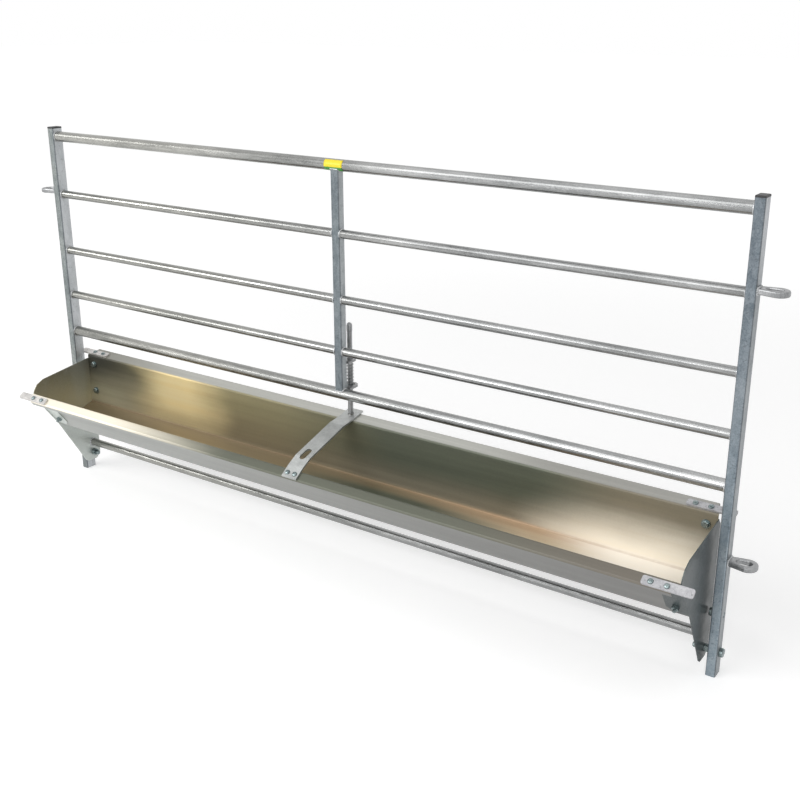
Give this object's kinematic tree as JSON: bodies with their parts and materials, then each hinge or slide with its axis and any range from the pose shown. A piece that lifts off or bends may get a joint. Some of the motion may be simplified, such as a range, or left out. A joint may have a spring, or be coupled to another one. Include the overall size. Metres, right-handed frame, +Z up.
{
  "type": "feeding panel with trough",
  "caption": "Tubular livestock hurdle with a swing-through feed trough hung between its posts, pinned by a spring-loaded drop bolt at the middle.",
  "frame": {"origin": "middle of the bounding box, on the floor under the posts' feet", "axes": "+X along the panel to the right post, +Y to the panel's back, away from the trough, +Z up"},
  "size_m": [1.938, 0.2472, 0.935],
  "materials": {
    "galvanised_tube": "hot-dip galvanised, mottled",
    "zinc_sheet": "bright galvanised sheet",
    "galvanised_plate": "galvanised, dull",
    "galvanised_bar": "hot-dip galvanised, pale",
    "zinc_fastener": "zinc plated",
    "spring_steel": "plain spring steel",
    "black_plastic": "moulded"
  },
  "bodies": {
    "panel": {"left_post": "galvanised_tube", "right_post": "galvanised_tube", "left_post_cap": "black_plastic", "right_post_cap": "black_plastic", "top_rail": "galvanised_tube", "trough_rail": "galvanised_tube", "second_rail_left": "galvanised_tube", "second_rail_right": "galvanised_tube", "third_rail_left": "galvanised_tube", "third_rail_right": "galvanised_tube", "fourth_rail_left": "galvanised_tube", "fourth_rail_right": "galvanised_tube", "middle_post": "galvanised_tube", "left_upper_loop": "galvanised_tube", "left_lower_loop": "galvanised_tube", "right_upper_loop": "galvanised_tube", "right_lower_loop": "galvanised_tube", "upper_latch_lug": "galvanised_tube", "lower_latch_lug": "galvanised_tube", "left_pivot_bolt": "zinc_fastener", "right_pivot_bolt": "zinc_fastener", "left_pivot_spacer": "zinc_fastener", "right_pivot_spacer": "zinc_fastener", "left_pivot_nut": "zinc_fastener", "right_pivot_nut": "zinc_fastener", "left_guide_bolt": "zinc_fastener", "right_guide_bolt": "zinc_fastener"},
    "trough": {"trough_sheet": "zinc_sheet", "left_end_plate": "galvanised_plate", "right_end_plate": "galvanised_plate", "tie_tube": "galvanised_tube", "center_strap": "galvanised_bar", "left_front_stop_bar": "galvanised_bar", "right_front_stop_bar": "galvanised_bar", "left_back_stop_bar": "galvanised_bar", "right_back_stop_bar": "galvanised_bar", "strap_rivet_left": "zinc_fastener", "strap_rivet_right": "zinc_fastener", "left_front_outer_rivet": "zinc_fastener", "left_front_inner_rivet": "zinc_fastener", "left_front_high_wall_bolt": "zinc_fastener", "left_front_low_wall_bolt": "zinc_fastener", "left_back_outer_rivet": "zinc_fastener", "left_back_inner_rivet": "zinc_fastener", "left_back_high_wall_bolt": "zinc_fastener", "left_back_low_wall_bolt": "zinc_fastener", "right_front_outer_rivet": "zinc_fastener", "right_front_inner_rivet": "zinc_fastener", "right_front_high_wall_bolt": "zinc_fastener", "right_front_low_wall_bolt": "zinc_fastener", "right_back_outer_rivet": "zinc_fastener", "right_back_inner_rivet": "zinc_fastener", "right_back_high_wall_bolt": "zinc_fastener", "right_back_low_wall_bolt": "zinc_fastener"},
    "latch": {"latch_rod": "galvanised_tube", "latch_collar": "zinc_fastener", "latch_cross_pin": "zinc_fastener", "latch_spring": "spring_steel"}
  },
  "joints": [
    {"name": "trough_swing", "type": "hinge", "parent": "panel", "child": "trough", "pos_m": [0, 0.07066, 0.049], "axis": [-1, 0, 0], "range_deg": [0, 35.4]},
    {"name": "latch_slide", "type": "slide", "parent": "panel", "child": "latch", "axis": [0, 0, 1], "range_m": [-0.026, 0.028], "stiffness_N_per_m": 150, "springref_m": -0.026, "deforming": ["latch_spring"]}
  ]
}
